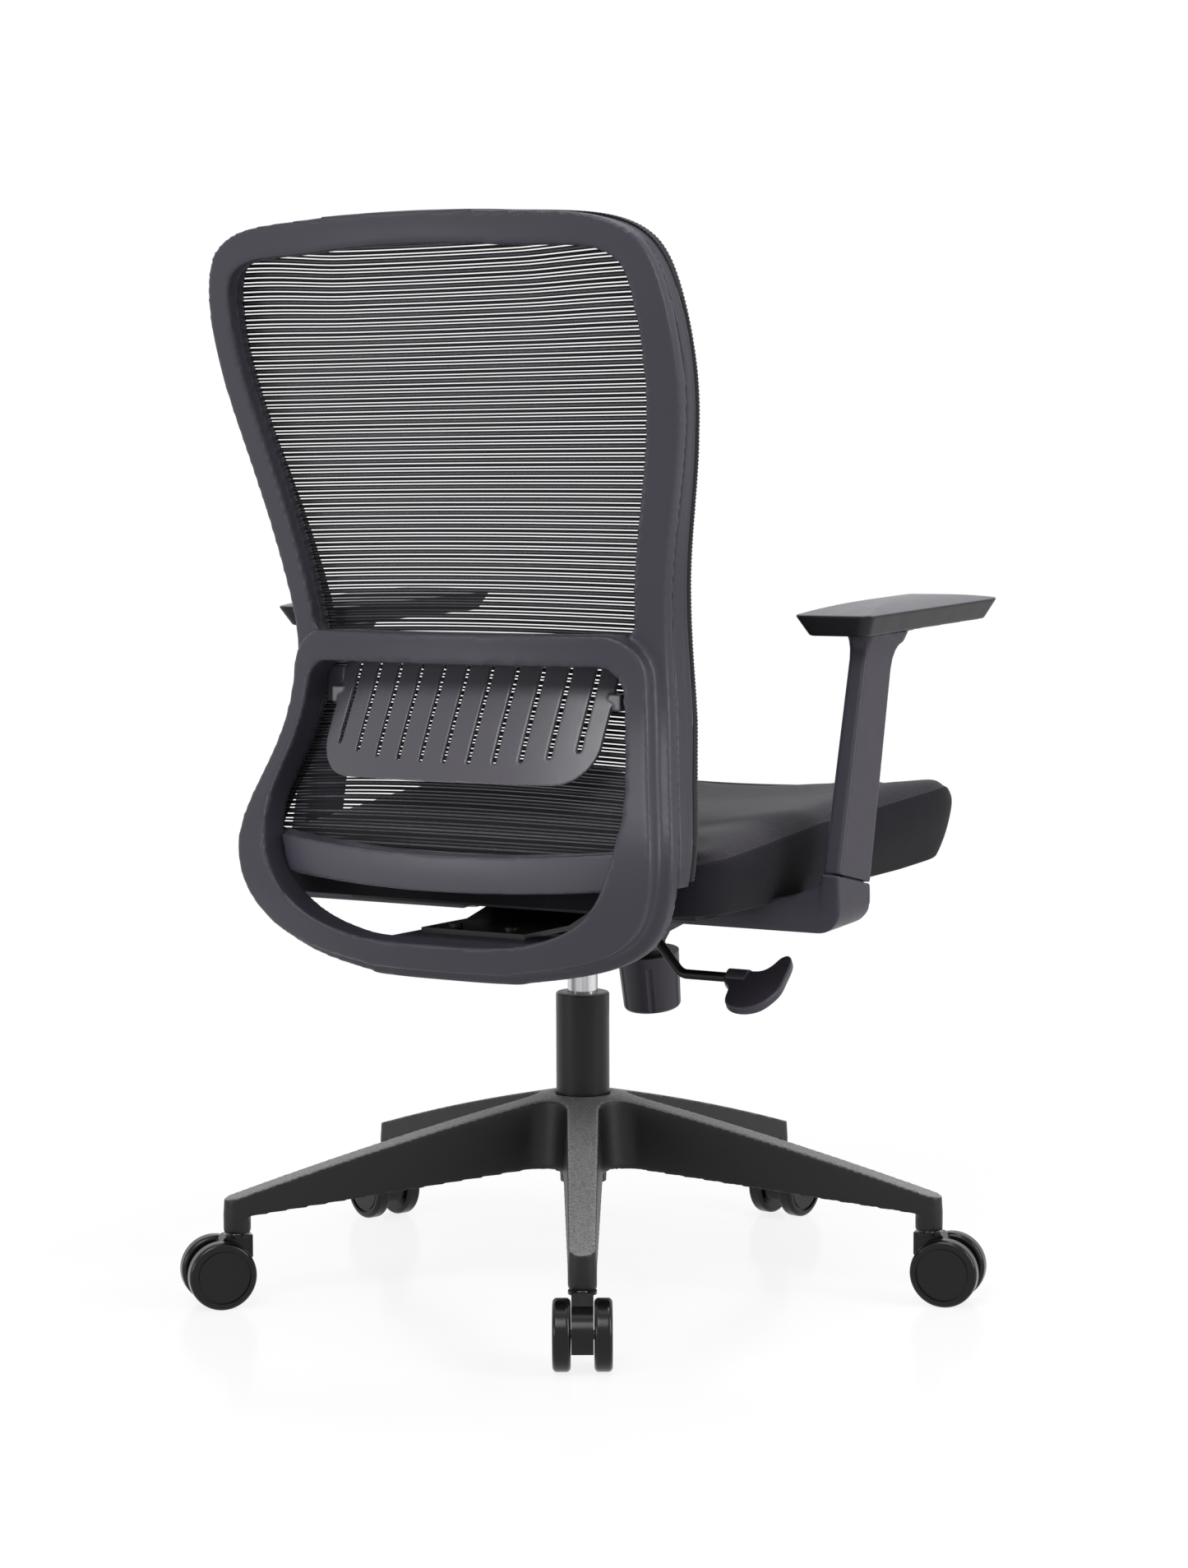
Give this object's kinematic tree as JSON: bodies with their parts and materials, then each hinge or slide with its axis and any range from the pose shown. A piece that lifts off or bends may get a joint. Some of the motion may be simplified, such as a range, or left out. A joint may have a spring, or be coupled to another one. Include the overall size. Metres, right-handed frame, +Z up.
{
  "type": "swivel office chair",
  "caption": "Swivel office chair with a bowed mesh back, padded seat, height adjustable arms, lumbar pad, gas lift, tilt mechanism and a star base on twin wheel casters.",
  "frame": {"origin": "on the floor under the axis of the gas lift", "axes": "+Z up, the sitter faces -Y, +X is the sitter's left"},
  "size_m": [0.7361, 0.7182, 0.976],
  "materials": {
    "black_plastic": "satin black moulded nylon",
    "base_nylon": "grained black glass filled nylon",
    "arm_plastic": "satin dark grey moulded plastic",
    "seat_fabric": "black woven upholstery over foam",
    "mesh_fabric": "stretched black open weave",
    "black_paint": "black powder coat",
    "chrome_tube": "bright chromed tube",
    "zinc_steel": "zinc plated",
    "wheel_plastic": "glossy black nylon"
  },
  "bodies": {
    "base": {"five_star_base": "base_nylon", "column_tube": "black_paint", "column_bush": "black_plastic", "column_hardware": "zinc_steel", "piston_rod": "zinc_steel"},
    "caster_1": {"caster_1_fork": "wheel_plastic", "caster_1_pins": "zinc_steel"},
    "wheel_1_a": {"caster_1_wheel_a": "wheel_plastic"},
    "wheel_1_b": {"caster_1_wheel_b": "wheel_plastic"},
    "caster_2": {"caster_2_fork": "wheel_plastic", "caster_2_pins": "zinc_steel"},
    "wheel_2_a": {"caster_2_wheel_a": "wheel_plastic"},
    "wheel_2_b": {"caster_2_wheel_b": "wheel_plastic"},
    "caster_3": {"caster_3_fork": "wheel_plastic", "caster_3_pins": "zinc_steel"},
    "wheel_3_a": {"caster_3_wheel_a": "wheel_plastic"},
    "wheel_3_b": {"caster_3_wheel_b": "wheel_plastic"},
    "caster_4": {"caster_4_fork": "wheel_plastic", "caster_4_pins": "zinc_steel"},
    "wheel_4_a": {"caster_4_wheel_a": "wheel_plastic"},
    "wheel_4_b": {"caster_4_wheel_b": "wheel_plastic"},
    "caster_5": {"caster_5_fork": "wheel_plastic", "caster_5_pins": "zinc_steel"},
    "wheel_5_a": {"caster_5_wheel_a": "wheel_plastic"},
    "wheel_5_b": {"caster_5_wheel_b": "wheel_plastic"},
    "lift": {"gas_cylinder": "chrome_tube"},
    "valve": {"valve_button": "zinc_steel"},
    "mech": {"mechanism_housing": "black_paint", "taper_socket": "black_paint", "tilt_axle": "zinc_steel", "tension_bolt": "zinc_steel", "tension_spring": "zinc_steel", "spring_sleeve": "black_plastic"},
    "washer": {"spring_washer": "zinc_steel"},
    "knob": {"tension_knob": "black_plastic"},
    "lever_pivot": {"lever_bush": "black_plastic"},
    "lever": {"lever_rod": "black_paint", "lever_paddle": "black_plastic"},
    "tilt": {"tilt_plate": "black_paint", "seat_pan": "black_plastic", "seat_cushion": "seat_fabric", "seat_screws": "zinc_steel", "arm_screws": "zinc_steel", "back_bracket": "black_paint", "back_screws": "zinc_steel", "back_frame": "arm_plastic", "mesh_frame": "black_plastic", "mesh_rail": "arm_plastic", "back_mesh": "mesh_fabric", "arm_bracket_left": "black_plastic", "arm_post_left": "black_plastic", "arm_bracket_right": "black_plastic", "arm_post_right": "black_plastic"},
    "lumbar": {"lumbar_pad": "arm_plastic"},
    "arm_left": {"arm_sleeve_left": "arm_plastic", "arm_pad_left": "arm_plastic"},
    "trigger_left": {"arm_trigger_left": "black_plastic"},
    "arm_right": {"arm_sleeve_right": "arm_plastic", "arm_pad_right": "arm_plastic"},
    "trigger_right": {"arm_trigger_right": "black_plastic"}
  },
  "joints": [
    {"name": "caster_1_swivel", "type": "hinge", "parent": "base", "child": "caster_1", "pos_m": [-0.17347, 0.28308, 0.0665], "axis": [0, 0, 1], "continuous": true},
    {"name": "wheel_1_a_roll", "type": "hinge", "parent": "caster_1", "child": "wheel_1_a", "pos_m": [-0.18287, 0.29842, 0.031], "axis": [-0.8526, -0.5225, 0], "continuous": true},
    {"name": "wheel_1_b_roll", "type": "hinge", "parent": "caster_1", "child": "wheel_1_b", "pos_m": [-0.18287, 0.29842, 0.031], "axis": [-0.8526, -0.5225, 0], "continuous": true},
    {"name": "caster_2_swivel", "type": "hinge", "parent": "base", "child": "caster_2", "pos_m": [-0.32283, -0.0775, 0.0665], "axis": [0, 0, 1], "continuous": true},
    {"name": "wheel_2_a_roll", "type": "hinge", "parent": "caster_2", "child": "wheel_2_a", "pos_m": [-0.34033, -0.08171, 0.031], "axis": [0.2334, -0.9724, 0], "continuous": true},
    {"name": "wheel_2_b_roll", "type": "hinge", "parent": "caster_2", "child": "wheel_2_b", "pos_m": [-0.34033, -0.08171, 0.031], "axis": [0.2334, -0.9724, 0], "continuous": true},
    {"name": "caster_3_swivel", "type": "hinge", "parent": "base", "child": "caster_3", "pos_m": [-0.02605, -0.33098, 0.0665], "axis": [0, 0, 1], "continuous": true},
    {"name": "wheel_3_a_roll", "type": "hinge", "parent": "caster_3", "child": "wheel_3_a", "pos_m": [-0.02746, -0.34892, 0.031], "axis": [0.9969, -0.0785, 0], "continuous": true},
    {"name": "wheel_3_b_roll", "type": "hinge", "parent": "caster_3", "child": "wheel_3_b", "pos_m": [-0.02746, -0.34892, 0.031], "axis": [0.9969, -0.0785, 0], "continuous": true},
    {"name": "caster_4_swivel", "type": "hinge", "parent": "base", "child": "caster_4", "pos_m": [0.30673, -0.12705, 0.0665], "axis": [0, 0, 1], "continuous": true},
    {"name": "wheel_4_a_roll", "type": "hinge", "parent": "caster_4", "child": "wheel_4_a", "pos_m": [0.32336, -0.13394, 0.031], "axis": [0.3827, 0.9239, 0], "continuous": true},
    {"name": "wheel_4_b_roll", "type": "hinge", "parent": "caster_4", "child": "wheel_4_b", "pos_m": [0.32336, -0.13394, 0.031], "axis": [0.3827, 0.9239, 0], "continuous": true},
    {"name": "caster_5_swivel", "type": "hinge", "parent": "base", "child": "caster_5", "pos_m": [0.21562, 0.25245, 0.0665], "axis": [0, 0, 1], "continuous": true},
    {"name": "wheel_5_a_roll", "type": "hinge", "parent": "caster_5", "child": "wheel_5_a", "pos_m": [0.22731, 0.26614, 0.031], "axis": [-0.7604, 0.6494, 0], "continuous": true},
    {"name": "wheel_5_b_roll", "type": "hinge", "parent": "caster_5", "child": "wheel_5_b", "pos_m": [0.22731, 0.26614, 0.031], "axis": [-0.7604, 0.6494, 0], "continuous": true},
    {"name": "lift_height", "type": "slide", "parent": "base", "child": "lift", "axis": [0, 0, 1], "range_m": [-0.022, 0.078]},
    {"name": "valve_press", "type": "slide", "parent": "lift", "child": "valve", "axis": [0, 0, 1], "range_m": [-0.0045, 0]},
    {"name": "seat_swivel", "type": "hinge", "parent": "lift", "child": "mech", "pos_m": [0, 0, 0.338], "axis": [0, 0, 1], "continuous": true},
    {"name": "tilt", "type": "hinge", "parent": "mech", "child": "tilt", "pos_m": [0, -0.03, 0.34], "axis": [-1, 0, 0], "range_deg": [0, 10.5], "stiffness_Nm_per_rad": 90, "springref_deg": -20.05},
    {"name": "tension_travel", "type": "slide", "parent": "mech", "child": "washer", "axis": [0, 0.1564, 0.9877], "range_m": [0, 0.0046], "deforming": ["tension_spring"]},
    {"name": "tension_turn", "type": "hinge", "parent": "washer", "child": "knob", "pos_m": [0, -0.116, 0.3252], "axis": [0, 0.1564, 0.9877], "range_deg": [0, 1080]},
    {"name": "lever_lift", "type": "hinge", "parent": "mech", "child": "lever_pivot", "pos_m": [-0.0405, 0, 0.348], "axis": [0, 1, 0], "range_deg": [0, 6], "stiffness_Nm_per_rad": 3, "springref_deg": -5.73},
    {"name": "lever_pull", "type": "slide", "parent": "lever_pivot", "child": "lever", "axis": [-1, 0, 0], "range_m": [0, 0.015]},
    {"name": "lumbar_slide", "type": "slide", "parent": "tilt", "child": "lumbar", "axis": [0, 0, 1], "range_m": [-0.02, 0]},
    {"name": "arm_left_height", "type": "slide", "parent": "tilt", "child": "arm_left", "axis": [0, -0.2079, 0.9781], "range_m": [0, 0.07]},
    {"name": "trigger_left_squeeze", "type": "slide", "parent": "arm_left", "child": "trigger_left", "axis": [0, 0, 1], "range_m": [0, 0.003], "stiffness_N_per_m": 600, "springref_m": -0.001},
    {"name": "arm_right_height", "type": "slide", "parent": "tilt", "child": "arm_right", "axis": [0, -0.2079, 0.9781], "range_m": [0, 0.07]},
    {"name": "trigger_right_squeeze", "type": "slide", "parent": "arm_right", "child": "trigger_right", "axis": [0, 0, 1], "range_m": [0, 0.003], "stiffness_N_per_m": 600, "springref_m": -0.001}
  ],
  "couplings": [
    {"joint": "tension_travel", "follows": "tension_turn", "m_per_rad": 0.000238},
    {"joint": "valve_press", "follows": "lever_lift", "m_per_rad": -0.042}
  ]
}
